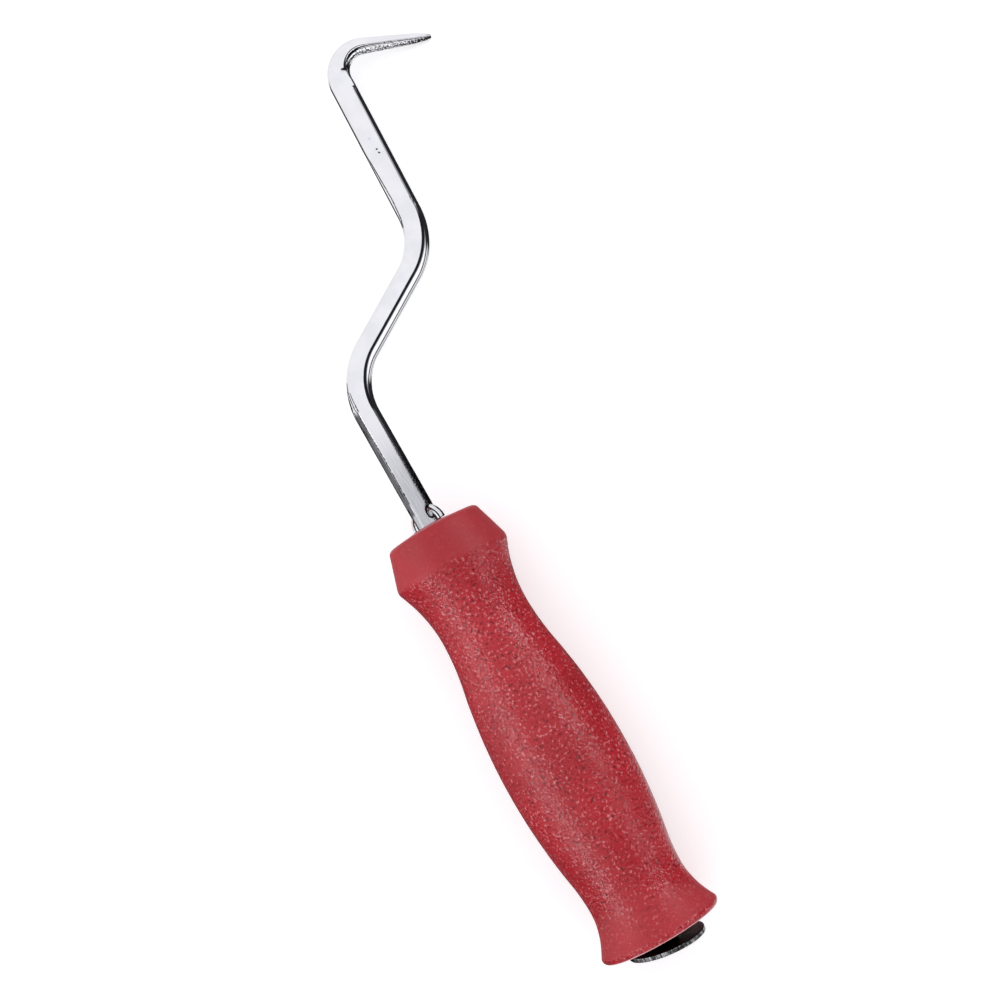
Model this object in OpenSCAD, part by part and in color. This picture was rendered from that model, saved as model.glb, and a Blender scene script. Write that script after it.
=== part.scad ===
// Tie wire twister: a cranked steel hook that spins freely in a moulded grip.
// The grip slides on over the butt end of the rod. It is held between two stop ears, pinched out
// of the rod, and a loose washer in front of the rod's peened end.
// The tool lies on its side. The spin axis is Y, the hook end is +Y, and +Z is up.
// The origin is on the spin axis, half way along the grip. Millimetres.

/* [Grip] */
// Length of the grip from the crown of its domed top to its flat butt
grip_len = 108.3; // [106.5:0.1:118]
// Height of the domed top above its rim
dome_rise = 1.2; // [0.6:0.1:1.6]
// Radius of the rim around the domed top
rim_r = 11.8; // [11:0.1:12.2]
// Radius of the collar, the raised ring under the top
collar_r = 14.2; // [13.5:0.1:14.8]
// Distance of the collar below the crown
collar_at = 10.7; // [9:0.1:12]
// Radius of the neck under the collar
neck_r = 11; // [10.5:0.1:12]
// Distance of the neck below the crown
neck_at = 25.6; // [24:0.1:30]
// Radius of the belly that fills the palm
belly_r = 14.8; // [14:0.05:15]
// Distance of the belly below the crown
belly_at = 64; // [60:0.1:72]
// Radius of the waist above the butt
waist_r = 11.95; // [11.5:0.05:13]
// Distance of the waist below the crown
waist_at = 95.8; // [90:0.1:98]
// Radius of the flared butt, the widest place
flare_r = 15.05; // [15:0.05:17]
// Rounding of the butt's outer edge
butt_round = 1.4; // [1:0.1:3]

/* [Hook rod] */
// Diameter of the rod
rod_d = 6; // [5:0.1:6.2]
// Length of straight rod from the crown to the first corner
shank_len = 37.9; // [32:0.1:45]
// Length of the slanted crank, corner to corner
crank_len = 38.7; // [34:0.1:42]
// Lean of the crank away from the spin axis, in degrees
crank_angle = 57.7; // [50:0.1:62]
// Length of the upper straight, from the second corner to the start of the hook
shaft_len = 43.2; // [36:0.2:50]
// Lean of the upper straight, in degrees
shaft_angle = 2; // [0:0.1:4]
// Radius of the rod's centre line in both bends of the crank
crank_bend_r = 16.5; // [12:0.5:17]
// Direction of the prong, in degrees from the spin axis
prong_angle = 107.6; // [95:0.2:115]
// Length of the straight part of the prong
prong_len = 17; // [14:0.1:20]
// Radius of the rod's centre line in the hook's bend
hook_bend_r = 7.1; // [6:0.1:8]
// Diameter of the prong's blunt tip
tip_d = 0.9; // [0.6:0.1:1.4]

/* [Stop ears and peened end] */
// How far the two pinched ears reach from the spin axis
ear_r = 4.8; // [4:0.1:5]
// Height of the ears' widest place above their foot
ear_rise = 0.2; // [0:0.1:1.6]
// Thickness of the ears
ear_t = 1.5; // [1.2:0.1:2.6]
// Turn of the ears about the rod, in degrees from the plane of the crank
ear_turn = -48; // [-90:1:90]
// Diameter of the peened end
peen_d = 8.4; // [8:0.1:10]
// Height of the peened end
peen_h = 1.3; // [1:0.1:2.5]

/* [End washer] */
// Diameter of the washer
washer_d = 18.8; // [16:0.1:20]
// Diameter of the washer's hole
washer_hole_d = 6.5; // [6.45:0.05:6.9]
// Thickness of the washer
washer_t = 1.1; // [0.9:0.1:1.4]
// Lean of the loose washer on the rod, in degrees
washer_lean = 9.1; // [0:0.1:9.5]
// Side on which the leaning washer stands off furthest, in degrees from straight up
washer_side = 45; // [-180:1:180]

/* [Hidden] */
// Radial play of the rod in the grip's bore
play = 0.06;
// Gap between faces that meet but don't press
gap = 0.05;
// Radius of the rounding at the rim, and at the collar
edge_round = 1.4;
collar_round = 3;
// Where the curve changes from hollow to full, as a share of the way to the next height
belly_turn = 0.3;
waist_turn = 0.77;
flare_turn = 0.95;
// Number of steps in a round of the outline, and in a stretch of its side
round_steps = 5;
side_steps = 12;
// Step in the rod's radius where a straight ends and a bend or the hook's taper comes out of it
joint_step = 0.02;
// How far a bend reaches into the straights, in degrees, and the other pieces, in millimetres
bend_overlap = 2;
overlap = 0.5;
// Places along the hook's taper: the share of its length, and the share of the rod's radius left
taper = [[0, 1], [0.22, 0.82], [0.43, 0.67], [0.66, 0.54], [0.86, 0.42], [0.96, 0.28]];

rod_r = rod_d / 2;
peen_r = peen_d / 2;
washer_r = washer_d / 2;
crown_z = grip_len / 2;
butt_z = -grip_len / 2;

// The ears rest on the domed top at the edge of its bore.
ear_z = crown_z - (rod_r + play) * dome_rise / rim_r + gap;

// The leaning washer touches the butt at one side of its edge and the peened end at the other.
washer_reach = washer_r * sin(washer_lean) + washer_t / 2 * cos(washer_lean);
washer_z = butt_z - gap - washer_reach;
peen_z = washer_z - washer_t / 2 / cos(washer_lean) - peen_r * tan(washer_lean) - gap;

// The hook hangs to the side until the tip of its prong meets the table under the grip.
hook_turn = prong_angle - shaft_angle;
hook_arc = hook_bend_r * hook_turn * PI / 180;
tip_reach = crank_len * sin(crank_angle) + shaft_len * sin(shaft_angle)
    + hook_bend_r * (cos(shaft_angle) - cos(prong_angle)) + prong_len * sin(prong_angle);
hook_roll = asin((flare_r - tip_d / 2) / tip_reach);

$fn = 64;

// Points of a round from angle a0 to angle a1, radius r, about the point c.
function round_points(c, r, a0, a1, first = 0) =
    [for (i = [first:round_steps])
        let (a = a0 + (a1 - a0) * i / round_steps)
        c + r * [cos(a), sin(a)]];

// A share of 0 to 1 that starts and ends level, and is steepest at the share k.
function ease(t, k) = t <= k ? t * t / k : 1 - (1 - t) * (1 - t) / (1 - k);

// Points of a smooth side line from radius a[0] at height a[1] to radius b[0] at height b[1].
function side_points(a, b, k) =
    [for (i = [1:side_steps])
        let (t = i / side_steps)
        [a[0] + (b[0] - a[0]) * ease(t, k), a[1] + (b[1] - a[1]) * t]];

// Half outline of the grip, from the crown down to the butt.
module grip_outline() {
    rim_z = crown_z - dome_rise - edge_round;
    rim_centre = [rim_r - edge_round, rim_z];
    collar_centre = [collar_r - collar_round, crown_z - collar_at];
    // Slopes of the dome, of the cone down to the collar, and of the hollow under it.
    dome_slope = atan(dome_rise / rim_r);
    cone_slope = atan((collar_r - rim_r) / (rim_z - collar_centre[1]));
    under_slope = atan(2 * (collar_r - neck_r) / (neck_at - collar_at));
    under_collar = round_points(collar_centre, collar_round, cone_slope, -under_slope);
    neck = [neck_r, crown_z - neck_at];
    belly = [belly_r, crown_z - belly_at];
    waist = [waist_r, crown_z - waist_at];
    flare = [flare_r, butt_z + butt_round];
    butt_centre = flare - [butt_round, 0];
    polygon(concat(
        [[0, butt_z], [0, crown_z]],
        round_points(rim_centre, edge_round, 90 - dome_slope, cone_slope),
        under_collar,
        side_points(under_collar[round_steps], neck, 0),
        side_points(neck, belly, belly_turn),
        side_points(belly, waist, waist_turn),
        side_points(waist, flare, flare_turn),
        round_points(butt_centre, butt_round, 0, -90, first = 1)
    ));
}

// The moulded grip, with one straight bore for the rod.
module grip() {
    color("indianred")
    lay_down()
    difference() {
        rotate_extrude() grip_outline();
        cylinder(h = 2 * grip_len, r = rod_r + play, center = true);
    }
}

// Turns what stands on the Z axis down onto the Y axis.
module lay_down() {
    rotate([-90, 0, 0]) children();
}

// A bend of the rod from straight up to the given angle towards +X, or towards -X below 0.
// It reaches a little way into the straights on both sides, and is a hair thinner than they are.
module rod_bend(radius, angle) {
    mirror([angle < 0 ? 1 : 0, 0, 0])
    translate([radius, 0, 0])
    mirror([1, 0, 0])
    rotate([90, bend_overlap, 0])
    rotate_extrude(angle = abs(angle) + 2 * bend_overlap)
    translate([radius, 0])
    circle(rod_r - joint_step);
}

// Moves to the end of such a bend, facing the way that the rod leaves it.
module after_bend(radius, angle) {
    side = angle < 0 ? -1 : 1;
    translate([side * radius * (1 - cos(angle)), 0, radius * sin(abs(angle))])
    rotate([0, angle, 0])
    children();
}

// Moves a distance along the rod.
module along(distance) {
    translate([0, 0, distance]) children();
}

// The share of the rod's radius that is left at the share t of the taper.
function taper_share(t) = lookup(t, taper);

// Centre of the hook's line, d along from the start of its bend, as [sideways, along, direction].
function hook_point(d) =
    let (a = max(0, min(d, hook_arc)) / hook_bend_r * 180 / PI, rest = max(0, d - hook_arc))
    [hook_bend_r * (1 - cos(a)) + rest * sin(a), min(d, 0) + hook_bend_r * sin(a) + rest * cos(a), a];

// The forged hook: one smooth taper round the bend and along the prong to a blunt tip.
module hook_taper() {
    sides = 24;
    length = hook_arc + prong_len;
    bend_steps = 9;
    prong_steps = 9;
    stops = concat(
        [-overlap],
        [for (i = [0:bend_steps]) hook_arc * i / bend_steps],
        [for (i = [1:prong_steps]) hook_arc + prong_len * i / prong_steps]
    );
    rings = len(stops);
    points = [for (d = stops, k = [0:sides - 1])
        let (
            p = hook_point(d),
            r = d == length ? tip_d / 2 : (rod_r - joint_step) * taper_share(d / length),
            a = 360 * k / sides
        )
        [p[0] + r * cos(a) * cos(p[2]), r * sin(a), p[1] - r * cos(a) * sin(p[2])]];
    faces = concat(
        [[for (k = [0:sides - 1]) k]],
        [for (i = [0:rings - 2], k = [0:sides - 1])
            let (a = i * sides + k, b = i * sides + (k + 1) % sides)
            [a, a + sides, b + sides, b]],
        [[for (k = [sides - 1:-1:0]) (rings - 1) * sides + k]]
    );
    polyhedron(points, faces);
}

// The two ears pinched out of the rod, seen as one arch across it.
module stop_ears() {
    rotate([90, 0, ear_turn])
    linear_extrude(height = ear_t, center = true)
    intersection() {
        translate([0, ear_rise]) circle(ear_r);
        translate([-ear_r, 0]) square([2 * ear_r, ear_r + ear_rise]);
    }
}

// The rod's end, hammered over into a low round head.
module peened_end() {
    dome_r = (peen_r * peen_r + peen_h * peen_h) / (2 * peen_h);
    mirror([0, 0, 1])
    rotate_extrude()
    intersection() {
        translate([0, peen_h - dome_r]) circle(dome_r);
        square([peen_r, peen_h]);
    }
}

// The whole steel rod, from the peened end to the tip of the prong.
module hook_rod() {
    first_turn = crank_angle;
    second_turn = shaft_angle - crank_angle;
    first_cut = crank_bend_r * tan(first_turn / 2);
    second_cut = crank_bend_r * tan(abs(second_turn) / 2);
    straight_end = crown_z + shank_len - first_cut;
    crank_straight = crank_len - first_cut - second_cut;
    shaft_straight = shaft_len - second_cut;
    color("silver")
    lay_down()
    rotate([0, 0, hook_roll]) {
        translate([0, 0, peen_z]) peened_end();
        translate([0, 0, peen_z - overlap]) cylinder(h = straight_end - peen_z + overlap, r = rod_r);
        translate([0, 0, ear_z]) stop_ears();
        along(straight_end) {
            rod_bend(crank_bend_r, first_turn);
            after_bend(crank_bend_r, first_turn) {
                cylinder(h = crank_straight, r = rod_r);
                along(crank_straight) {
                    rod_bend(crank_bend_r, second_turn);
                    after_bend(crank_bend_r, second_turn) {
                        cylinder(h = shaft_straight, r = rod_r);
                        along(shaft_straight) hook_taper();
                    }
                }
            }
        }
    }
}

// The loose washer, leaning on the rod as it lies.
module end_washer() {
    color("dimgray")
    lay_down()
    translate([0, 0, washer_z])
    rotate([0, 0, washer_side])
    rotate([washer_lean, 0, 0])
    difference() {
        cylinder(h = washer_t, r = washer_r, center = true);
        cylinder(h = 3 * washer_t, d = washer_hole_d, center = true);
    }
}

grip();
hook_rod();
end_washer();
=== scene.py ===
import math
import bpy
import numpy as np
from mathutils import Matrix, Vector, noise


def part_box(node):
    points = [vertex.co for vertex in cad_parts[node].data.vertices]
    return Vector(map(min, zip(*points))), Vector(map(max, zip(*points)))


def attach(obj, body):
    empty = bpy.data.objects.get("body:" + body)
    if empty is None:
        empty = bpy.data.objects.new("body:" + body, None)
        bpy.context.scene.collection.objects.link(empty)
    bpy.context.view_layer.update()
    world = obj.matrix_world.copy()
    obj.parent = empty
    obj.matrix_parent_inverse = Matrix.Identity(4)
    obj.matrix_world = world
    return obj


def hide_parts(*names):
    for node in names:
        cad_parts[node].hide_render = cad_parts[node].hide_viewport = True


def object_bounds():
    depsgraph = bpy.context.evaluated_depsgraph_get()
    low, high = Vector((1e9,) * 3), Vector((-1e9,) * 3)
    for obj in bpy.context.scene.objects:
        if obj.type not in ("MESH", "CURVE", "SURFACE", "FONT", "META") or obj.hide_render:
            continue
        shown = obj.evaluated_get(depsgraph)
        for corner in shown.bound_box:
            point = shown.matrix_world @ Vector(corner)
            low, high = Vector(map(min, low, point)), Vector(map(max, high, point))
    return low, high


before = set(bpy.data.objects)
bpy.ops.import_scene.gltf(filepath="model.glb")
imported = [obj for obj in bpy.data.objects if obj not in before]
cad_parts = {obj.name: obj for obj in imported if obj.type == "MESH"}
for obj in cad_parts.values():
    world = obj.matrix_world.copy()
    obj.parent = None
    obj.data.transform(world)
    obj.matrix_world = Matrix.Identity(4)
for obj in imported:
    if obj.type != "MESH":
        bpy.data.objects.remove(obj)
cad_low, cad_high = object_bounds()

# The frame: the spin axis is Y, the hook end is +Y, +Z is up, and the tool lies on a table.
# Lengths with the ending _mm, and all of the shape functions, are in millimetres.
MM = 0.001
GRIP_LOW, GRIP_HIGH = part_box("grip")
CROWN = GRIP_HIGH.y / MM
BUTT = GRIP_LOW.y / MM
FLARE_R = GRIP_HIGH.x / MM
TABLE_Z = GRIP_LOW.z

# Grip: radii, and distances below the crown of the domed top
DOME_RISE = 1.2
RIM_R = 11.8
COLLAR_R, COLLAR_AT = 14.2, 10.7
NECK_R, NECK_AT = 11.0, 25.6
BELLY_R, BELLY_AT = 14.8, 64.0
WAIST_R, WAIST_AT = 11.95, 95.8
# Where each side curve is steepest, as a share of its height
NECK_TURN, BELLY_TURN, WAIST_TURN, FLARE_TURN = 1e-9, 0.30, 0.77, 0.95
BUTT_ROUND = 1.4
EDGE_ROUND, COLLAR_ROUND = 1.4, 3.0
BORE_R, BORE_ROUND = 3.06, 0.25
# The sprue's pimple in front: its place across and below the crown, and its height and width
GATE_ACROSS, GATE_AT = 1.2, 9.4
GATE_HEIGHT, GATE_WIDTH = 0.26, 0.45
GATE_DITCH, GATE_DITCH_R, GATE_DITCH_WIDTH = 0.14, 1.0, 0.3

# Hook rod: radius, lengths and turns along its centre line
ROD_R = 3.0
SHANK_LEN = 37.9
CRANK_LEN, CRANK_ANGLE = 38.7, math.radians(57.7)
SHAFT_LEN, SHAFT_ANGLE = 43.2, math.radians(2)
CRANK_BEND_R = 16.5
PRONG_LEN, PRONG_ANGLE = 17.0, math.radians(107.6)
HOOK_BEND_R = 7.1
TIP_R = 0.45
EAR_R, EAR_RISE, EAR_TURN = 4.8, 0.2, math.radians(-48)
EAR_GAP, EAR_FILLET = 0.05, 0.06
PEEN_R, PEEN_H = 4.2, 1.3

# Washer
WASHER_R, WASHER_HOLE_R, WASHER_T = 9.4, 3.25, 1.1
WASHER_LEAN, WASHER_SIDE = math.radians(9.1), math.radians(45)
WASHER_SOFT = 0.22
GAP = 0.05


# ---------------------------------------------------------------- meshes

def make_object(name, points_mm, faces, materials, face_material=None):
    """A smooth-shaded mesh object from points in millimetres in the row frame."""
    mesh = bpy.data.meshes.new(name)
    mesh.from_pydata([tuple(p) for p in np.asarray(points_mm) * MM], [], faces)
    mesh.validate()
    for material in materials:
        mesh.materials.append(material)
    if face_material is not None:
        mesh.polygons.foreach_set("material_index", face_material)
    mesh.polygons.foreach_set("use_smooth", [True] * len(mesh.polygons))
    mesh.update()
    piece = bpy.data.objects.new(name, mesh)
    bpy.context.scene.collection.objects.link(piece)
    return piece


def ring_faces(rings, sides, closed=False):
    """Quads between neighbouring rings of points; closed joins the last ring to the first."""
    faces = []
    for i in range(rings if closed else rings - 1):
        a, b = i * sides, (i + 1) % rings * sides
        for k in range(sides):
            n = (k + 1) % sides
            faces.append((a + k, a + n, b + n, b + k))
    return faces


def smooth_step(low, high, x):
    """0 below low, 1 above high, and a smooth rise between them."""
    t = np.clip((np.asarray(x, float) - low) / (high - low), 0, 1)
    return t * t * (3 - 2 * t)


# ---------------------------------------------------------------- node helpers

class Nodes:
    """Short calls that add and link shader nodes."""

    def __init__(self, tree):
        tree.nodes.clear()
        self.tree = tree

    def add(self, kind, links=None, **values):
        node = self.tree.nodes.new(kind)
        for key, value in values.items():
            setattr(node, key, value)
        for socket, source in (links or {}).items():
            self.set(node.inputs[socket], source)
        return node

    def set(self, socket, source):
        if isinstance(source, bpy.types.NodeSocket):
            self.tree.links.new(source, socket)
        else:
            socket.default_value = source

    def math(self, operation, a, b=0.0, clamp=False):
        links = {0: a, 1: b}
        return self.add("ShaderNodeMath", links, operation=operation, use_clamp=clamp).outputs[0]

    def remap(self, value, low, high, to_low=0.0, to_high=1.0, smooth=True):
        kind = "SMOOTHSTEP" if smooth else "LINEAR"
        links = {"Value": value, "From Min": low, "From Max": high,
                 "To Min": to_low, "To Max": to_high}
        return self.add("ShaderNodeMapRange", links, interpolation_type=kind).outputs[0]

    def noise(self, vector, scale, detail=2.0, rough=0.5):
        links = {"Vector": vector, "Scale": scale, "Detail": detail, "Roughness": rough}
        return self.add("ShaderNodeTexNoise", links).outputs["Fac"]

    def mix(self, factor, a, b, blend="MIX"):
        node = self.add("ShaderNodeMix", data_type="RGBA", blend_type=blend)
        self.set(node.inputs[0], factor)
        self.set(node.inputs[6], a)
        self.set(node.inputs[7], b)
        return node.outputs[2]

    def bump(self, height, strength, distance, normal=None):
        links = {"Height": height, "Strength": strength, "Distance": distance}
        if normal is not None:
            links["Normal"] = normal
        return self.add("ShaderNodeBump", links).outputs["Normal"]

    def object_place(self):
        return self.add("ShaderNodeTexCoord").outputs["Object"]

    def stretched(self, vector, share):
        """The vector with its second axis scaled down, which draws a texture out along it."""
        links = {"Vector": vector, "Scale": (1.0, share, 1.0)}
        return self.add("ShaderNodeMapping", links).outputs[0]


def new_material(name):
    material = bpy.data.materials.new(name)
    material.use_nodes = True
    return material, Nodes(material.node_tree)


def finish_material(nodes, **inputs):
    """A Principled shader with these inputs, wired to the output."""
    links = {key.replace("_", " "): value for key, value in inputs.items()}
    shader = nodes.add("ShaderNodeBsdfPrincipled", links)
    nodes.add("ShaderNodeOutputMaterial", {"Surface": shader.outputs[0]})


# ---------------------------------------------------------------- materials

def grain_mask(n, place, y):
    """1 where the spark-eroded grain is: below the collar and in a band above the butt."""
    collar_y = CROWN - COLLAR_AT
    below_collar = n.remap(y, (collar_y - 1.5) * MM, (collar_y + 0.9) * MM, 1, 0.12)
    above_flare = n.remap(y, (BUTT + 4) * MM, (BUTT + 16) * MM, 0.4, 1)
    patches = n.remap(n.noise(place, 130, 2), 0.35, 0.65, 0.7, 1)
    body = n.math("MULTIPLY", n.math("MULTIPLY", below_collar, above_flare), patches)
    butt_band = n.remap(y, (BUTT + 2.6) * MM, (BUTT + 1.2) * MM, 0, 0.8)
    return n.math("MAXIMUM", body, butt_band)


def butt_edge_highlight(n, x, y, z):
    """A painted highlight: the thin pale line round the butt's edge."""
    from_axis = n.math("SQRT", n.math("ADD", n.math("MULTIPLY", x, x), n.math("MULTIPLY", z, z)))
    low = n.remap(y, (BUTT + 0.42) * MM, (BUTT + 0.22) * MM, 0, 0.75)
    return n.math("MULTIPLY", low, n.remap(from_axis, (FLARE_R - 1.0) * MM, (FLARE_R - 0.8) * MM))


def red_plastic():
    """Red plastic, matt on the collar and grained below it, with painted shade darkening the grain's
    pits and painted highlights on its peaks.
    """
    material, n = new_material("red_grained_plastic")
    place = n.object_place()
    axes = n.add("ShaderNodeSeparateXYZ", {0: place}).outputs
    x, y, z = axes[0], axes[1], axes[2]
    grained = grain_mask(n, place, y)
    fine = n.noise(place, 1500, 1.0, 0.5)
    strength = n.math("ADD", n.math("MULTIPLY", grained, 0.95), 0.05)
    normal = n.bump(fine, strength, 0.00034)
    shade = n.remap(n.noise(place, 55, 3), 0.3, 0.7, 0.0, 1.0)
    base = n.mix(shade, (0.300, 0.009, 0.015, 1), (0.365, 0.012, 0.020, 1))
    # Painted shade: the grain's low points are darkened towards black.
    pits = n.math("MULTIPLY", grained, n.remap(fine, 0.31, 0.41, 0.8, 0))
    base = n.mix(pits, base, (0.06, 0.003, 0.006, 1))
    # Painted highlight: the grain's high points are coloured pale pink.
    peak_highlight = n.math("MULTIPLY", grained, n.remap(fine, 0.60, 0.72, 0, 0.38))
    # The butt edge's painted highlight takes the same pale pink.
    base = n.mix(n.math("MAXIMUM", peak_highlight, butt_edge_highlight(n, x, y, z)), base, (0.80, 0.40, 0.42, 1))
    rough = n.remap(grained, 0.35, 0.8, 0.50, 0.15)
    finish_material(n, Base_Color=base, Roughness=rough, Normal=normal, Specular_IOR_Level=0.4,
                    Sheen_Weight=0.12, Sheen_Roughness=0.35, Sheen_Tint=(1.0, 0.75, 0.78, 1))
    return material


def steel_normal(n, place, drawn, speckle, dull_and_shade):
    """Fine drawing lines, a slight waviness, and pits where the metal is dull."""
    lines = n.math("ADD", n.math("MULTIPLY", dull_and_shade, 0.55), 0.05)
    pits = n.math("ADD", n.math("MULTIPLY", dull_and_shade, 0.45), 0.02)
    normal = n.bump(drawn, lines, 0.00004)
    normal = n.bump(n.noise(place, 700, 2), 0.10, 0.00006, normal)
    return n.bump(speckle, pits, 0.00006, normal)


def steel_colour(n, place, drawn, dull_and_shade, burnt, dark):
    """Bright metal, greyer where it is dull and where shade near the grip is painted, dark grey where
    burnt, and black under the dark marks and painted shade.
    """
    cloud = n.remap(n.noise(place, 160, 3), 0.35, 0.65)
    base = n.mix(cloud, (0.86, 0.86, 0.885, 1), (0.92, 0.92, 0.935, 1))
    greyed = n.math("MULTIPLY", dull_and_shade, n.remap(drawn, 0.3, 0.7, 0.75, 1.0))
    base = n.mix(greyed, base, (0.50, 0.50, 0.53, 1))
    scale = n.mix(n.remap(drawn, 0.35, 0.65), (0.07, 0.07, 0.075, 1), (0.22, 0.22, 0.235, 1))
    base = n.mix(burnt, base, scale)
    return n.mix(dark, base, (0.018, 0.018, 0.02, 1))


def plated_steel():
    """Bright plated steel. The UV layer "marks" holds dark marks with painted shade and painted dark
    reflections, and dull metal with painted shade near the grip (to 1) or burnt metal (to 2).
    """
    material, n = new_material("bright_plated_steel")
    place = n.object_place()
    along_rod = n.add("ShaderNodeUVMap", uv_map="along_rod").outputs["UV"]
    marks = n.add("ShaderNodeUVMap", uv_map="marks").outputs["UV"]
    marks = n.add("ShaderNodeSeparateXYZ", {0: marks}).outputs
    dark_marks_and_shade = marks[0]
    dull_and_shade = n.math("MINIMUM", marks[1], 1.0)
    burnt = n.math("SUBTRACT", marks[1], 1.0, clamp=True)
    drawn = n.noise(n.stretched(along_rod, 0.06), 4200, 3)
    speckle = n.noise(place, 2600, 3, 0.6)
    # The dark marks and painted shade stand as separate specks between 0 and 1; at 1 they cover the
    # metal.
    specks = n.math("ADD", dark_marks_and_shade, n.math("MULTIPLY", n.math("SUBTRACT", speckle, 0.5), 1.7))
    dark = n.remap(specks, 0.42, 0.72)
    rough = n.remap(n.noise(place, 420, 3), 0.3, 0.7, 0.03, 0.07)
    rough = n.math("ADD", rough, n.math("MULTIPLY", n.math("MAXIMUM", dull_and_shade, dark), 0.14))
    finish_material(n, Base_Color=steel_colour(n, place, drawn, dull_and_shade, burnt, dark), Metallic=1.0,
                    Roughness=rough, Normal=steel_normal(n, place, drawn, speckle, dull_and_shade))
    return material


def washer_face():
    """Nearly black metal with a few paler specks: painted shade, for the shade in the gap between the
    butt and the washer.
    """
    material, n = new_material("dark_washer_face")
    place = n.object_place()
    cloud = n.noise(place, 900, 4)
    base = n.mix(n.remap(cloud, 0.45, 0.75), (0.006, 0.006, 0.007, 1), (0.05, 0.055, 0.052, 1))
    normal = n.bump(n.noise(place, 2600, 3), 0.35, 0.00005)
    rough = n.remap(cloud, 0.3, 0.7, 0.32, 0.5)
    finish_material(n, Base_Color=base, Metallic=1.0, Roughness=rough, Normal=normal)
    return material


def washer_edge():
    """The punched rim, with bright and dark streaks across it."""
    material, n = new_material("sheared_washer_edge")
    streaks = n.noise(n.stretched(n.object_place(), 0.08), 2600, 3, 0.6)
    base = n.mix(n.remap(streaks, 0.42, 0.66), (0.05, 0.05, 0.053, 1), (0.66, 0.67, 0.66, 1))
    normal = n.bump(streaks, 0.5, 0.00006)
    rough = n.remap(streaks, 0.35, 0.65, 0.38, 0.2)
    finish_material(n, Base_Color=base, Metallic=1.0, Roughness=rough, Normal=normal)
    return material


def pale_floor():
    """A pale matt sweep that is lit a little from below, as on a light table."""
    material, n = new_material("pale_floor")
    cloud = n.noise(n.object_place(), 40, 2)
    base = n.mix(cloud, (0.88, 0.88, 0.88, 1), (0.90, 0.90, 0.90, 1))
    finish_material(n, Base_Color=base, Roughness=0.9, Specular_IOR_Level=0.1,
                    Emission_Color=(1, 1, 1, 1), Emission_Strength=0.45)
    return material


def pale_backdrop():
    """An evenly lit white wall."""
    material, n = new_material("pale_backdrop")
    cloud = n.noise(n.object_place(), 0.5, 2)
    glow = n.mix(cloud, (0.98, 0.98, 0.98, 1), (1.0, 1.0, 1.0, 1))
    finish_material(n, Base_Color=(0, 0, 0, 1), Specular_IOR_Level=0.0,
                    Emission_Color=glow, Emission_Strength=1.0)
    return material


# ---------------------------------------------------------------- grip

def ease(t, turn):
    """A share of 0 to 1 that starts and ends level, and is steepest at the share turn."""
    return t * t / turn if t <= turn else 1 - (1 - t) ** 2 / (1 - turn)


def side_points(a, b, turn, steps):
    """Outline points [radius, y] after a and up to b."""
    return [[a[0] + (b[0] - a[0]) * ease(i / steps, turn), a[1] + (b[1] - a[1]) * i / steps]
            for i in range(1, steps + 1)]


def round_points(centre, radius, start, end, steps):
    """Outline points of a round, from angle start to angle end, in radians."""
    turns = [start + (end - start) * i / steps for i in range(steps + 1)]
    return [[centre[0] + radius * math.cos(a), centre[1] + radius * math.sin(a)] for a in turns]


def line_points(a, b, steps):
    """Outline points after a and up to b on a straight line."""
    return [[a[0] + (b[0] - a[0]) * i / steps, a[1] + (b[1] - a[1]) * i / steps]
            for i in range(1, steps + 1)]


def grip_outline():
    """The grip's closed half outline: up the bore, over the top and down the outside."""
    rim_y = CROWN - DOME_RISE - EDGE_ROUND
    rim_centre = (RIM_R - EDGE_ROUND, rim_y)
    collar_centre = (COLLAR_R - COLLAR_ROUND, CROWN - COLLAR_AT)
    dome_slope = math.atan(DOME_RISE / RIM_R)
    cone_slope = math.atan((COLLAR_R - RIM_R) / (rim_y - collar_centre[1]))
    under_slope = math.atan(2 * (COLLAR_R - NECK_R) / (NECK_AT - COLLAR_AT))
    rim = round_points(rim_centre, EDGE_ROUND, math.pi / 2 - dome_slope, cone_slope, 10)
    collar = round_points(collar_centre, COLLAR_ROUND, cone_slope, -under_slope, 16)
    neck = (NECK_R, CROWN - NECK_AT)
    belly = (BELLY_R, CROWN - BELLY_AT)
    waist = (WAIST_R, CROWN - WAIST_AT)
    flare = (FLARE_R, BUTT + BUTT_ROUND)
    butt_centre = (FLARE_R - BUTT_ROUND, BUTT + BUTT_ROUND)
    mouth_y = CROWN - DOME_RISE * BORE_R / RIM_R - BORE_ROUND
    mouth_centre = (BORE_R + BORE_ROUND, mouth_y)
    seat_centre = (BORE_R + BORE_ROUND, BUTT + BORE_ROUND)
    mouth = round_points(mouth_centre, BORE_ROUND, math.pi, math.pi / 2, 4)
    seat = round_points(seat_centre, BORE_ROUND, -math.pi / 2, -math.pi, 4)
    points = mouth
    points += line_points(mouth[-1], rim[0], 20) + rim[1:]
    points += line_points(rim[-1], collar[0], 22) + collar[1:]
    points += side_points(collar[-1], neck, NECK_TURN, 44)
    points += side_points(neck, belly, BELLY_TURN, 108)
    points += side_points(belly, waist, WAIST_TURN, 84)
    points += side_points(waist, flare, FLARE_TURN, 32)
    points += round_points(butt_centre, BUTT_ROUND, 0, -math.pi / 2, 14)[1:]
    points += line_points(points[-1], seat[0], 14) + seat[1:]
    points += line_points(seat[-1], mouth[0], 8)[:-1]
    return np.array(points)


def outward(outline):
    """Unit normals of a closed outline that runs clockwise, with the radius to the right."""
    along = np.roll(outline, -1, 0) - np.roll(outline, 1, 0)
    along /= np.linalg.norm(along, axis=1, keepdims=True)
    return np.stack([-along[:, 1], along[:, 0]], 1)


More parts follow.
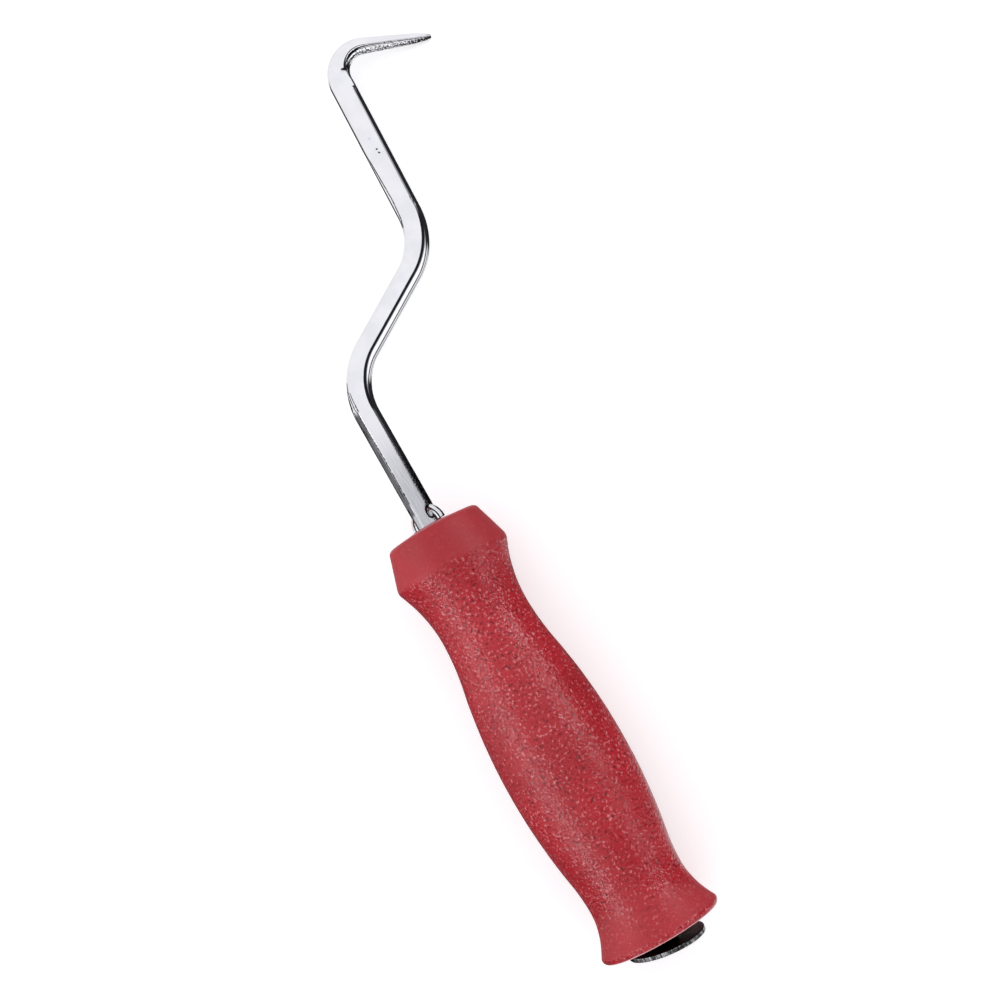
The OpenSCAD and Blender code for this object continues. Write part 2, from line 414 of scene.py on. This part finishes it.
def grip_lift(p):
    """How far the moulding stands off its outline at the point p: waves, grain and the gate."""
    x, y, z = p
    below_collar = smooth_step(COLLAR_AT - 0.6, COLLAR_AT + 0.3, CROWN - y)
    grained = float(below_collar * smooth_step(BUTT + 1, BUTT + 9, y))
    lift = -0.012 + 0.02 * noise.noise(Vector(p * 0.35))
    lift += 0.024 * grained * noise.noise(Vector(p * 1.6))
    if z > 0:
        distance = math.hypot(x - GATE_ACROSS, y - (CROWN - GATE_AT))
        lift += GATE_HEIGHT * math.exp(-(distance / GATE_WIDTH) ** 2)
        lift -= GATE_DITCH * math.exp(-((distance - GATE_DITCH_R) / GATE_DITCH_WIDTH) ** 2)
    return min(lift, 0.25)


def make_grip(material):
    sides = 256
    outline = grip_outline()
    points = np.zeros((len(outline), sides, 3))
    turns = np.arange(sides) * 2 * math.pi / sides
    for i, ((r, y), (nr, ny)) in enumerate(zip(outline, outward(outline))):
        outside = r > BORE_R + 1 and BUTT + 0.3 < y < CROWN - 0.6
        for k, a in enumerate(turns):
            p = np.array([r * math.sin(a), y, r * math.cos(a)])
            direction = np.array([nr * math.sin(a), ny, nr * math.cos(a)])
            points[i, k] = p + direction * (grip_lift(p) if outside else 0.0)
    faces = ring_faces(len(outline), sides, closed=True)
    return make_object("grip_moulding", points.reshape(-1, 3), faces, [material])


# ---------------------------------------------------------------- hook rod

def rod_route():
    """The straights and bends of the rod as (length, turn) in order, from the peened end."""
    first_turn = CRANK_ANGLE
    second_turn = SHAFT_ANGLE - CRANK_ANGLE
    third_turn = PRONG_ANGLE - SHAFT_ANGLE
    first_cut = CRANK_BEND_R * math.tan(first_turn / 2)
    second_cut = CRANK_BEND_R * math.tan(-second_turn / 2)
    return [
        (CROWN + SHANK_LEN - first_cut - peen_y(), 0.0),
        (CRANK_BEND_R * first_turn, first_turn),
        (CRANK_LEN - first_cut - second_cut, 0.0),
        (-CRANK_BEND_R * second_turn, second_turn),
        (SHAFT_LEN - second_cut, 0.0),
        (HOOK_BEND_R * third_turn, third_turn),
        (PRONG_LEN, 0.0),
    ]


def washer_y():
    reach = WASHER_R * math.sin(WASHER_LEAN) + WASHER_T / 2 * math.cos(WASHER_LEAN)
    return BUTT - GAP - reach


def peen_y():
    """Inner face of the peened end."""
    return washer_y() - WASHER_T / 2 / math.cos(WASHER_LEAN) - PEEN_R * math.tan(WASHER_LEAN) - GAP


def rod_place(d, route):
    """Centre [sideways, along] and direction angle of the rod's line, a distance d along it."""
    x, y, angle = 0.0, peen_y(), 0.0
    for i, (length, turn) in enumerate(route):
        is_last = i == len(route) - 1
        here = d if is_last else min(d, length)
        if turn:
            radius = length / abs(turn)
            side = 1 if turn > 0 else -1
            swing = here / radius
            forth = radius * math.sin(swing)
            off = side * radius * (1 - math.cos(swing))
            x += off * math.cos(angle) + forth * math.sin(angle)
            y += forth * math.cos(angle) - off * math.sin(angle)
            angle += side * swing
        else:
            x += here * math.sin(angle)
            y += here * math.cos(angle)
        if d <= length or is_last:
            return x, y, angle
        d -= length


def hook_roll():
    """The turn of the hook about the spin axis that brings the prong's tip down to the table."""
    reach = CRANK_LEN * math.sin(CRANK_ANGLE) + SHAFT_LEN * math.sin(SHAFT_ANGLE)
    reach += HOOK_BEND_R * (math.cos(SHAFT_ANGLE) - math.cos(PRONG_ANGLE))
    reach += PRONG_LEN * math.sin(PRONG_ANGLE)
    return math.asin((FLARE_R - TIP_R) / reach)


# The hook's taper: shares of its length, and the share of the rod's radius left there
TAPER_AT = [0, 0.22, 0.43, 0.66, 0.86, 0.96, 1.0]
TAPER_SHARE = [1, 0.82, 0.67, 0.54, 0.42, 0.28, 0.15]

# The forging line along the hook: shares of its length, its place as a share of the radius
# towards the inner side, and half its width
LINE_AT = [0.15, 0.30, 0.40, 0.50, 0.65, 0.85, 1.0]
LINE_PLACE = [0.55, 0.46, 0.42, 0.34, 0.30, 0.38, 0.38]
LINE_HALF = [0.10, 0.34, 0.24, 0.15, 0.13, 0.11, 0.15]
LINE_DEPTH = 0.12
# A second, finer line starts at the corner and fades out along the prong
SECOND_AT = [0.02, 0.14, 0.25, 0.40, 0.6]
SECOND_PLACE = [0.80, 0.72, 0.86, 0.80, 0.75]
# How dark the painted dark reflection on the mottled inner side of the prong is
MOTTLED_AT = [0.3, 0.55, 0.75, 0.85, 1.0]
MOTTLED = [0.48, 0.54, 0.58, 0.70, 0.8]

# Lines that the bending dies left on the rod, painted black as painted dark reflections, as (distance
# from the hook's or the first bend's start, degrees from straight up towards the left)
FACET_LINE = [(-38.0, 66), (-35.6, 57), (-31.0, 48), (-28.0, 50), (-24.0, 56), (-20.0, 62),
              (-14.5, 82)]
SHANK_INNER = [(-23.0, 34), (-11.6, 33), (1.4, 36)]
SHANK_OUTER = [(-23.0, 76), (-10.5, 76), (1.6, 62)]
SLIT = [(1.6, 36), (3.5, 42), (5.6, 52)]
BEND_EDGE = [(5.8, 58), (7.8, 62)]

# Flats that the dies pressed: the way each faces, from straight up towards the left, and its depth
SHANK_FLAT, SHANK_FLAT_DEPTH = math.radians(54), 0.16
UPPER_FLAT, UPPER_FLAT_DEPTH = math.radians(56), 0.03
HOOK_FLAT = math.radians(-32)
HOOK_FLAT_AT, HOOK_FLAT_DEPTH = [-1.9, -1.4, 3.2, 3.4], [0, 0.42, 0.12, 0]

# The pinched ovals beside the ears: degrees from the ears' direction, height above their foot,
# half sizes around and along the rod, and depth
DIMPLE_TURN, DIMPLE_AT, DIMPLE_DEPTH = 25, 2.4, 0.45
DIMPLE_ACROSS, DIMPLE_ALONG = 0.80, 1.35
EARS_END = 5.5


def rod_stops(route):
    """Distances along the rod at which a ring of the mesh stands."""
    ends = np.cumsum([length for length, turn in route])
    ear_at = CROWN - peen_y()
    stretches = [
        (0, ear_at - 1.0, 4.0),
        (ear_at - 1.0, ear_at + EARS_END, 0.11),
        (ear_at + EARS_END, ends[0], 0.5),
        (ends[0], ends[0] + 8.5, 0.25),
        (ends[0] + 8.5, ends[4] - 20.5, 0.5),
        (ends[4] - 20.5, ends[4] - 14, 0.16),
        (ends[4] - 14, ends[4], 0.5),
        (ends[4], ends[6] - 0.5, 0.2),
    ]
    stops = []
    for start, end, step in stretches:
        stops += list(np.linspace(start, end, int((end - start) / step), endpoint=False))
    return stops + list(np.linspace(ends[6] - 0.5, ends[6], 6))


def pressed(radius, turn, centre, depth):
    """The radius at the angles turn, with a flat pressed to this depth around the centre."""
    facing = np.cos(turn - centre)
    flat = (radius - depth) / np.maximum(facing, 0.3)
    return np.where(facing > 0.3, np.minimum(radius, flat), radius)


def within(x, start, end, fade):
    """1 between start and end, with a fade outside both."""
    return float(smooth_step(start - fade, start, x) * (1 - smooth_step(end, end + fade, x)))


def stroke(d, up_turn, path, half, beside=0.0):
    """1 on a line that the path draws on the rod, falling off over half a width around it.

    With beside, there are two lines, that far to both sides of the path."""
    at, degrees = zip(*path)
    away = np.abs(up_turn - math.radians(np.interp(d, at, degrees))) * ROD_R - beside
    return within(d, at[0], at[-1], 0.4) * np.exp(-(away / half) ** 2)


def with_hook_flat(radius, after_hook, up_turn):
    """The radius with the die's flat on the inner upper side, where the hook's bend starts."""
    depth = float(np.interp(after_hook, HOOK_FLAT_AT, HOOK_FLAT_DEPTH))
    return pressed(radius, up_turn, HOOK_FLAT, depth)


def rod_radius(d, ends, up_turn):
    """The rod's radius round a ring at the distance d, with the marks of its bending dies.

    up_turn is the angle of each point from straight up, towards the left."""
    after_bend, after_hook = d - ends[0], d - ends[4]
    on_shank = within(d, CROWN - peen_y() + EARS_END, ends[0] + 1.5, 0.8)
    rise = smooth_step(-38.5, -35, after_hook)
    on_upper = float(rise * (1 - smooth_step(-27, -14, after_hook)))
    radius = pressed(ROD_R, up_turn, SHANK_FLAT, SHANK_FLAT_DEPTH * on_shank)
    radius = pressed(radius, up_turn, UPPER_FLAT, UPPER_FLAT_DEPTH * on_upper)
    radius = with_hook_flat(radius, after_hook, up_turn)
    radius = radius - 0.10 * stroke(after_bend, up_turn, SLIT, 0.16, 0.34)
    return radius - 0.06 * stroke(after_hook, up_turn, FACET_LINE, 0.15)


# Small dents, as (distance from the hook's start, degrees from straight up, radius)
DENTS = [
    (-18.3, -3, 0.28), (-19.2, -5, 0.30), (-15.3, 4, 0.14), (-15.0, 8, 0.14), (-37.8, 66, 0.42),
    (-39.2, 54, 0.24), (-32.4, -38, 0.12), (-33.5, -44, 0.14), (-30.8, -41, 0.10), (-87.9, -20, 0.12),
]


def dents(after_hook, up_turn):
    """How deep each point of a ring lies in a dent, from 0 to 1."""
    depth = np.zeros(len(up_turn))
    for at, degrees, size in DENTS:
        along = (after_hook - at) / size
        across = (up_turn - math.radians(degrees)) * ROD_R / size
        depth = np.maximum(depth, np.exp(-(along ** 2 + across ** 2)))
    return depth


def ear_dimples(height, phi):
    """Distance of each point from the middles of the four pinched ovals, 1 on their outline.

    phi is the angle of each point from the ears' direction."""
    from_ear = np.abs((phi + math.pi / 2) % math.pi - math.pi / 2)
    off = np.abs(from_ear - math.radians(DIMPLE_TURN)) * ROD_R
    return np.hypot(off / DIMPLE_ACROSS, (height - DIMPLE_AT) / DIMPLE_ALONG)


def dark_marks_and_shade_on_rod(d, ends, up_turn, phi, height):
    """How dark (dark marks, painted shade and painted dark reflections) and how dull or burnt (dull
    with painted shade near the grip) the points of a ring are: 0 to 1 and 0 to 2 each.
    """
    after_bend, after_hook = d - ends[0], d - ends[4]
    degrees = np.degrees(up_turn)
    on_shank = float(smooth_step(2, 4, height) * (1 - smooth_step(0.5, 2.0, after_bend)))
    near_grip = float(1 - smooth_step(-22, 2, after_bend))
    flat = smooth_step(36, 40, degrees) * (1 - smooth_step(72, 76, degrees))
    # Painted shade: the right side of the rod is darkened, most near the grip, faintly up to 12 mm
    # past the first bend's start.
    right = smooth_step(12, 48, -degrees) * (1 - smooth_step(70, 100, -degrees))
    shaded = 0.50 * near_grip + (0.18 if after_bend < 12 else 0)
    layers = [
        dents(after_hook, up_turn),
        # Painted dark reflections: the die lines are painted black along the rod.
        1.15 * stroke(after_hook, up_turn, FACET_LINE, 0.20),
        stroke(after_bend, up_turn, SHANK_INNER, 0.20),
        stroke(after_bend, up_turn, SHANK_OUTER, 0.26),
        stroke(after_bend, up_turn, SLIT, 0.17, 0.36),
        stroke(after_bend, up_turn, BEND_EDGE, 0.25),
        right * shaded * float(after_bend < 14),
        # Painted shade: a black outline round the pinched ovals beside the ears.
        1.3 * np.exp(-((ear_dimples(height, phi) - 1.0) / 0.28) ** 2),
    ]
    dark_marks_and_shade = np.max(layers, axis=0)
    # Painted shade: the rod below the crown, in the bore and in the gap between the butt and the
    # washer, is black.
    if d < CROWN - peen_y() - 2:
        dark_marks_and_shade = np.ones(len(up_turn))
    # Painted shade: the steel near the grip is greyed as dull metal, up to just past the first bend's
    # start.
    dull_and_shade = np.maximum(near_grip * float(after_bend < 3), 2.0 * flat * on_shank)
    return dark_marks_and_shade, dull_and_shade


def forging_line(share, inner):
    """1 on the forging line on the hook's upper side; inner is a share of the radius."""
    place = np.interp(share, LINE_AT, LINE_PLACE)
    radius = ROD_R * np.interp(share, TAPER_AT, TAPER_SHARE)
    half = np.interp(share, LINE_AT, LINE_HALF)
    return float(smooth_step(0.12, 0.20, share)) * np.exp(-((inner - place) * radius / half) ** 2)


def dark_marks_and_shade_on_hook(share, inner, up):
    """How dark the points of a ring of the hook are: its lines, and its mottled inner side."""
    second = np.interp(share, SECOND_AT, SECOND_PLACE)
    faint = float(smooth_step(0.0, 0.1, share) * (1 - smooth_step(0.3, 0.5, share)))
    mottled = float(smooth_step(0.26, 0.36, share)) * smooth_step(0.42, 0.66, inner)
    layers = [
        # Painted shade: the forging line's groove is painted black.
        forging_line(share, inner) * (up > 0),
        0.8 * faint * np.exp(-((inner - second) / 0.08) ** 2) * (up > 0),
        # Painted dark reflection: the mottled inner side is darkened in specks.
        mottled * np.interp(share, MOTTLED_AT, MOTTLED),
    ]
    return np.max(layers, axis=0)


def make_hook(material):
    sides = 160
    route = rod_route()
    ends = np.cumsum([length for length, turn in route])
    stops = rod_stops(route)
    roll = hook_roll()
    # The sides of the rings stand closer together towards the ears.
    even = np.arange(sides) * 2 * math.pi / sides
    phi = even - 0.18 * np.sin(2 * even)
    around = phi + EAR_TURN
    up_turn = (-around - roll - math.pi / 2 + math.pi) % (2 * math.pi) - math.pi
    points, lay, marks = [], [], []
    for d in stops:
        after_hook = d - ends[4]
        share = after_hook / (ends[6] - ends[4])
        if share > 0:
            radius, dark_marks_and_shade, dull_and_shade = hook_ring(share, d, after_hook, around, up_turn)
        else:
            radius, dark_marks_and_shade, dull_and_shade = rod_ring(d, ends, up_turn, phi)
        x, y, angle = rod_place(d, route)
        side = radius * np.cos(around)
        deep = radius * np.sin(around)
        ring = [x + side * math.cos(angle), deep, y - side * math.sin(angle)]
        points.append(np.stack(ring, 1))
        lay.append(np.stack([around * ROD_R * MM, np.full(sides, d * MM)], 1))
        marks.append(np.stack([dark_marks_and_shade, dull_and_shade], 1))
    rows = to_rows(np.concatenate(points), roll)
    last = (len(stops) - 1) * sides
    faces = [face[::-1] for face in ring_faces(len(stops), sides)]
    faces.append(tuple(last + k for k in range(sides))[::-1])
    rows, faces = add_peen(rows, faces, sides, around, roll)
    ear_points, ear_marks, ear_faces = ear_plate()
    faces += [tuple(len(rows) + k for k in face) for face in ear_faces]
    peen_points = len(rows) - len(stops) * sides
    rows = np.concatenate([rows, to_rows(ear_points, roll)])
    lay = np.concatenate(lay + [np.zeros((peen_points + len(ear_points), 2))])
    marks = np.concatenate(marks + [np.tile(PEEN_MARKS, (peen_points, 1)), ear_marks])
    # The tip rests on the table, and nothing stands outside the CAD.
    rows = np.clip(rows, np.array(cad_low) / MM + 0.001, np.array(cad_high) / MM - 0.001)
    rows[:, 2] = np.maximum(rows[:, 2], TABLE_Z / MM)
    piece = make_object("hook", rows, faces, [material])
    add_uv(piece, "along_rod", lay)
    add_uv(piece, "marks", marks)
    return piece


def hook_ring(share, d, after_hook, around, up_turn):
    """Radius, darkness (dark marks, painted shade and painted dark reflection) and dullness round a
    ring of the hook, at this share of its length.
    """
    inner, up = np.cos(around), -np.sin(around)
    radius = np.full(len(around), ROD_R * np.interp(share, TAPER_AT, TAPER_SHARE))
    radius = with_hook_flat(radius, after_hook, up_turn)
    radius -= LINE_DEPTH * forging_line(share, inner) * (up > 0)
    radius += 0.05 * hammered(share, d, around)
    return radius, dark_marks_and_shade_on_hook(share, inner, up), np.zeros(len(around))


def rod_ring(d, ends, up_turn, phi):
    """Radius, darkness (dark marks and painted shade) and dullness (with painted shade near the grip)
    round a ring of the rod between its peened end and the hook.
    """
    height = d - (CROWN + ear_foot() - peen_y())
    radius = rod_radius(d, ends, up_turn)
    radius -= 0.10 * dents(d - ends[4], up_turn)
    radius -= DIMPLE_DEPTH * np.exp(-(ear_dimples(height, phi) / 0.8) ** 2)
    dark_marks_and_shade, dull_and_shade = dark_marks_and_shade_on_rod(d, ends, up_turn, phi, height)
    return radius, dark_marks_and_shade, dull_and_shade


def to_rows(points, roll):
    """Points [sideways, deep, along] of the hook, rolled about the spin axis, in the row frame."""
    x = points[:, 0] * math.cos(roll) - points[:, 1] * math.sin(roll)
    y = points[:, 0] * math.sin(roll) + points[:, 1] * math.cos(roll)
    return np.stack([x, points[:, 2], -y], 1)


def add_uv(piece, name, values):
    """A UV layer that holds two values of each vertex."""
    layer = piece.data.uv_layers.new(name=name)
    corner = np.zeros(len(piece.data.loops), int)
    piece.data.loops.foreach_get("vertex_index", corner)
    layer.data.foreach_set("uv", np.asarray(values)[corner].reshape(-1))


def hammered(share, d, around):
    """A fine uneven surface, strongest on the inner side of the prong."""
    inner = smooth_step(0.1, 0.9, np.cos(around)) * float(smooth_step(0.12, 0.35, share))
    places = [Vector((2.4 * math.cos(a), 2.4 * math.sin(a), 1.6 * d)) for a in around]
    return inner * np.array([noise.noise(place) for place in places])


def ear_foot():
    """Height of the ears' foot above the crown."""
    return -(ROD_R + EAR_FILLET) * DOME_RISE / RIM_R + EAR_GAP


# Half of the ears' section, as (share of EAR_R, half thickness, darkness), and the peened end's marks;
# the dark groove inside the ears' rim and their darkened edge are painted shade
EAR_SIDE = [(0.50, 0.62, 0.1), (0.76, 0.62, 0.1), (0.795, 0.58, 0.7), (0.82, 0.52, 1.0),
            (0.845, 0.58, 0.7), (0.87, 0.70, 0.0), (0.91, 0.75, 0.0), (0.95, 0.70, 0.0),
            (0.98, 0.50, 0.0), (1.0, 0.22, 0.5)]
EAR_DULL = 0.35
PEEN_MARKS = [0.3, 0.8]


def ear_plate():
    """Points [sideways, deep, along], marks and faces of the two pinched ears, one arch in all."""
    steps = 72
    section = [(share, -half, dark_marks_and_shade) for share, half, dark_marks_and_shade in EAR_SIDE]
    # Painted shade: on this face the rim is black.
    section += [(share, half, 1.0 if share > 0.9 else dark_marks_and_shade) for share, half, dark_marks_and_shade in EAR_SIDE[::-1]]
    points, marks = [], []
    for i in range(steps + 1):
        t = -0.04 + (math.pi + 0.08) * i / steps
        for share, b, dark_marks_and_shade in section:
            a = EAR_R * share * math.cos(t)
            height = EAR_RISE + EAR_R * share * math.sin(t)
            points.append((a * math.cos(EAR_TURN) - b * math.sin(EAR_TURN),
                           a * math.sin(EAR_TURN) + b * math.cos(EAR_TURN),
                           CROWN + ear_foot() + max(height, 0)))
            marks.append((dark_marks_and_shade, EAR_DULL))
    count = len(section)
    faces = ring_faces(steps + 1, count)
    faces.append(tuple(range(count))[::-1])
    faces.append(tuple(steps * count + k for k in range(count)))
    return np.array(points), np.array(marks), faces


def peen_outline():
    """Outline points [radius, height] of the peened end: under its edge, round it, its dome."""
    dome_r = (PEEN_R ** 2 + PEEN_H ** 2) / (2 * PEEN_H)
    outline = [(PEEN_R * 0.86, 0.0), (PEEN_R * 0.97, -0.05), (PEEN_R, -0.25), (PEEN_R * 0.97, -0.45)]
    for share in (0.9, 0.75, 0.6, 0.45, 0.3, 0.15, 0.05):
        r = PEEN_R * share
        outline.append((r, -(math.sqrt(dome_r ** 2 - r * r) - (dome_r - PEEN_H))))
    return outline


def add_peen(rows, faces, sides, around, roll):
    """Adds the peened end, with hammer marks, to the rod's first ring."""
    start = 0
    for r, drop in peen_outline():
        places = [Vector((math.cos(a) * r, math.sin(a) * r, 3.0)) for a in around]
        wobble = np.array([0.05 * noise.noise(place) for place in places])
        r = np.minimum(r + wobble * (r > 1), PEEN_R)
        x = r * np.cos(around + roll)
        y = r * np.sin(around + roll)
        along = np.maximum(peen_y() + np.minimum(drop + 0.8 * wobble, 0), peen_y() - PEEN_H)
        base = len(rows)
        rows = np.concatenate([rows, np.stack([x, along, -y], 1)])
        for k in range(sides):
            n = (k + 1) % sides
            faces.append((start + k, start + n, base + n, base + k))
        start = base
    faces.append(tuple(start + k for k in range(sides)))
    return rows, faces


# ---------------------------------------------------------------- washer

def washer_outline():
    """The washer's closed half outline [radius, height], and the range of its rim's stretches."""
    half = WASHER_T / 2
    corner = (WASHER_R - WASHER_SOFT, half - WASHER_SOFT)
    outline = round_points(corner, WASHER_SOFT, math.pi / 2, 0, 4)
    rim_from = len(outline) - 2
    outline += line_points(outline[-1], (WASHER_R, -half + 0.08), 5)
    rim_to = len(outline) - 1
    outline += [[WASHER_R - 0.08, -half]]
    outline += line_points(outline[-1], (WASHER_HOLE_R + 0.1, -half), 8)
    outline += [[WASHER_HOLE_R, -half + 0.1], [WASHER_HOLE_R, half - 0.2], [WASHER_HOLE_R + 0.2, half]]
    outline += line_points(outline[-1], outline[0], 8)[:-1]
    return outline, range(rim_from, rim_to)


def make_washer(face_material, edge_material):
    sides = 144
    outline, rim = washer_outline()
    turn = Matrix.Rotation(WASHER_SIDE, 3, "Z") @ Matrix.Rotation(WASHER_LEAN, 3, "X")
    rows = []
    for r, h in outline:
        for k in range(sides):
            a = k * 2 * math.pi / sides
            x, y = math.cos(a), math.sin(a)
            rough = 0.0
            if r > WASHER_R - 0.05:
                rough = min(-0.03 + 0.05 * noise.noise(Vector((x * 22, y * 22, h * 0.8))), 0)
            dish = 0.03 * noise.noise(Vector((x * r * 0.25, y * r * 0.25, 7.0)))
            q = turn @ Vector(((r + rough) * x, (r + rough) * y, h + dish))
            rows.append((q.x, washer_y() + q.z, -q.y))
    faces = [face[::-1] for face in ring_faces(len(outline), sides, closed=True)]
    index = [1 if i // sides in rim else 0 for i in range(len(faces))]
    return make_object("washer", rows, faces, [face_material, edge_material], index)


# ---------------------------------------------------------------- stage

def make_stage_object(name, points, faces, material):
    """A piece of the studio, from points in metres."""
    mesh = bpy.data.meshes.new(name)
    mesh.from_pydata(points, [], faces)
    mesh.materials.append(material)
    piece = bpy.data.objects.new(name, mesh)
    bpy.context.scene.collection.objects.link(piece)
    return piece


def make_floor(material):
    size = 4.0
    corners = [(-size, -size), (size, -size), (size, size), (-size, size)]
    points = [(x, y, TABLE_Z) for x, y in corners]
    floor = make_stage_object("floor", points, [(0, 1, 2, 3)], material)
    floor.visible_glossy = False


def make_backdrop(material):
    """A round pale wall beyond the floor's middle, which only the camera sees."""
    sides, radius, height = 64, 3.8, 6.0
    turns = [2 * math.pi * k / sides for k in range(sides)]
    points = [(radius * math.cos(a), radius * math.sin(a), z)
              for z in (TABLE_Z, height) for a in turns]
    faces = ring_faces(2, sides) + [tuple(range(sides, 2 * sides))]
    wall = make_stage_object("backdrop", points, faces, material)
    wall.visible_diffuse = False
    wall.visible_glossy = False
    wall.visible_transmission = False
    wall.visible_shadow = False


# Two long soft boxes at the sides, as (name, side, middle, length, watts)
STRIP_HEIGHT, STRIP_WIDTH = 0.44, 0.05
STRIPS = [
    ("left_strip", -0.67, 0.0, 1.2, 3.0),
    ("right_strip", 0.67, 0.25, 0.7, 2.1),
    ("right_end_strip", 0.67, -0.42, 0.36, 0.6),
]


def object_matrix(right, up, back, place):
    """The matrix of a light or camera that looks along minus back."""
    return Matrix((
        (right.x, up.x, back.x, place.x),
        (right.y, up.y, back.y, place.y),
        (right.z, up.z, back.z, place.z),
        (0, 0, 0, 1)))


def strip_light(name, side, middle, length, watts, lit):
    """A long soft light beside the tool, parallel to its grip, turned towards the spin axis.

    It shines on the objects of the collection lit, as black flags keep it off the others."""
    data = bpy.data.lights.new(name, "AREA")
    data.shape = "RECTANGLE"
    data.size = STRIP_WIDTH
    data.size_y = length
    data.energy = watts
    light = bpy.data.objects.new(name, data)
    along = Vector((0, 1, 0))
    back = Vector((side, 0, STRIP_HEIGHT)).normalized()
    across = along.cross(back).normalized()
    light.matrix_world = object_matrix(across, along, back, Vector((side, middle, STRIP_HEIGHT)))
    light.visible_camera = False
    light.light_linking.receiver_collection = lit
    bpy.context.scene.collection.objects.link(light)


# Colours of the studio. Those above 1 are lamps.
WHITE_ABOVE = (0.94, 0.94, 0.975, 1)
WHITE_BEYOND = (1.15, 1.15, 1.17, 1)
THIN_LAMP = (2.0, 2.0, 2.0, 1)
BORDER_GREY = (0.30, 0.30, 0.33, 1)
FLAG_BLACK = (0.015, 0.015, 0.018, 1)
BLACK_BELOW = (0.02, 0.02, 0.022, 1)
WHITE_BELOW = (0.92, 0.92, 0.94, 1)
# The flag is a band on a great circle, square to this direction.
FLAG_AXIS = (-0.110, 0.855, 0.506)


class Studio(Nodes):
    """Shader nodes with masks for parts of the sky. Directions are unit vectors."""

    def __init__(self, tree):
        super().__init__(tree)
        self.direction = self.add("ShaderNodeTexCoord").outputs["Generated"]
        level = self.vector("MULTIPLY", self.direction, (1, 1, 0)).outputs[0]
        self.level = self.vector("NORMALIZE", level).outputs[0]
        self.height = self.add("ShaderNodeSeparateXYZ", {0: self.direction}).outputs[2]

    def vector(self, operation, a, b=(0, 0, 0)):
        return self.add("ShaderNodeVectorMath", {0: a, 1: b}, operation=operation)

    def towards(self, azimuth, half, soft):
        """1 within half of this azimuth, in degrees, and 0 beyond a soft edge."""
        middle = math.radians(azimuth)
        to_middle = (math.cos(middle), math.sin(middle), 0)
        facing = self.vector("DOT_PRODUCT", self.level, to_middle).outputs["Value"]
        outer = math.cos(math.radians(half + soft))
        inner = math.cos(math.radians(half))
        return self.remap(facing, outer, inner)

    def window(self, value, low, high, soft):
        """1 between low and high, with soft edges."""
        rise = self.remap(value, low - soft, low + soft)
        fall = self.remap(value, high - soft, high + soft, 1, 0)
        return self.math("MULTIPLY", rise, fall)


def colour_below(n):
    """Black, but for white cards to the left and to the right; the right one has dark seams."""
    shelf = n.math("MULTIPLY", n.towards(130, 50, 10), n.remap(n.height, -0.56, -0.44))
    left = n.math("MAXIMUM", n.towards(95, 45, 12), shelf)
    upper_seam = n.window(n.height, -0.36, -0.15, 0.02)
    lower_seam = n.window(n.height, -0.72, -0.58, 0.03)
    seams = n.math("MAXIMUM", upper_seam, lower_seam)
    right = n.math("MULTIPLY", n.towards(289, 50, 8), n.math("SUBTRACT", 1.0, seams))
    return n.mix(n.math("MAXIMUM", left, right), BLACK_BELOW, WHITE_BELOW)


def colour_above(n):
    """White, with a dark flag on the right, its grey border and brighter light beyond it."""
    across = n.vector("DOT_PRODUCT", n.direction, FLAG_AXIS).outputs["Value"]
    right = n.towards(-42, 46, 16)
    beyond = n.math("MULTIPLY", right, n.remap(across, -0.30, -0.24, 1, 0))
    thin = n.math("MULTIPLY", n.towards(175, 5, 4), n.window(n.height, 0.36, 0.46, 0.02))
    border = n.math("MULTIPLY", right, n.window(across, -0.28, -0.17, 0.02))
    flag = n.math("MULTIPLY", right, n.window(across, -0.19, 0.19, 0.03))
    colour = n.mix(beyond, WHITE_ABOVE, WHITE_BEYOND)
    colour = n.mix(thin, colour, THIN_LAMP)
    colour = n.mix(border, colour, BORDER_GREY)
    return n.mix(flag, colour, FLAG_BLACK)


def make_world():
    """A soft pale studio above, with light and dark sides below and a dark flag on the right."""
    world = bpy.data.worlds.new("soft_studio")
    world.use_nodes = True
    n = Studio(world.node_tree)
    colour = n.mix(n.remap(n.height, -0.10, 0.03), colour_below(n), colour_above(n))
    background = n.add("ShaderNodeBackground", {"Color": colour, "Strength": 1.0})
    n.add("ShaderNodeOutputWorld", {"Surface": background.outputs[0]})
    bpy.context.scene.world = world


# The camera hangs above the foot point and looks at the target; the picture is turned by the lean.
CAMERA_PLACE = Vector((0.0170, 0.0194, 0.5))
CAMERA_TARGET = Vector((0.0170, 0.0501, 0))
CAMERA_LEAN = math.radians(29.68)
CAMERA_SENSOR, CAMERA_LENS = 36, 77.8


def make_camera():
    """Nearly straight above, with the tool's axis leaning to the left in the picture."""
    back = (CAMERA_PLACE - CAMERA_TARGET).normalized()
    up = Vector((math.sin(CAMERA_LEAN), math.cos(CAMERA_LEAN), 0))
    right = up.cross(back).normalized()
    up = back.cross(right)
    data = bpy.data.cameras.new("camera")
    data.sensor_width = CAMERA_SENSOR
    data.lens = CAMERA_LENS
    camera = bpy.data.objects.new("camera", data)
    camera.matrix_world = object_matrix(right, up, back, CAMERA_PLACE)
    bpy.context.scene.collection.objects.link(camera)
    bpy.context.scene.camera = camera


# ---------------------------------------------------------------- scene

make_camera()
make_world()
make_floor(pale_floor())
make_backdrop(pale_backdrop())
grip = make_grip(red_plastic())
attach(grip, "grip")
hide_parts("grip")

strip_lit = bpy.data.collections.new("strip_lit")
strip_lit.objects.link(grip)
for strip in STRIPS:
    strip_light(*strip, strip_lit)

hook = make_hook(plated_steel())
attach(hook, "hook")
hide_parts("hook_rod")

washer = make_washer(washer_face(), washer_edge())
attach(washer, "washer")
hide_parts("end_washer")

scene = bpy.context.scene
scene.view_settings.view_transform = "Standard"
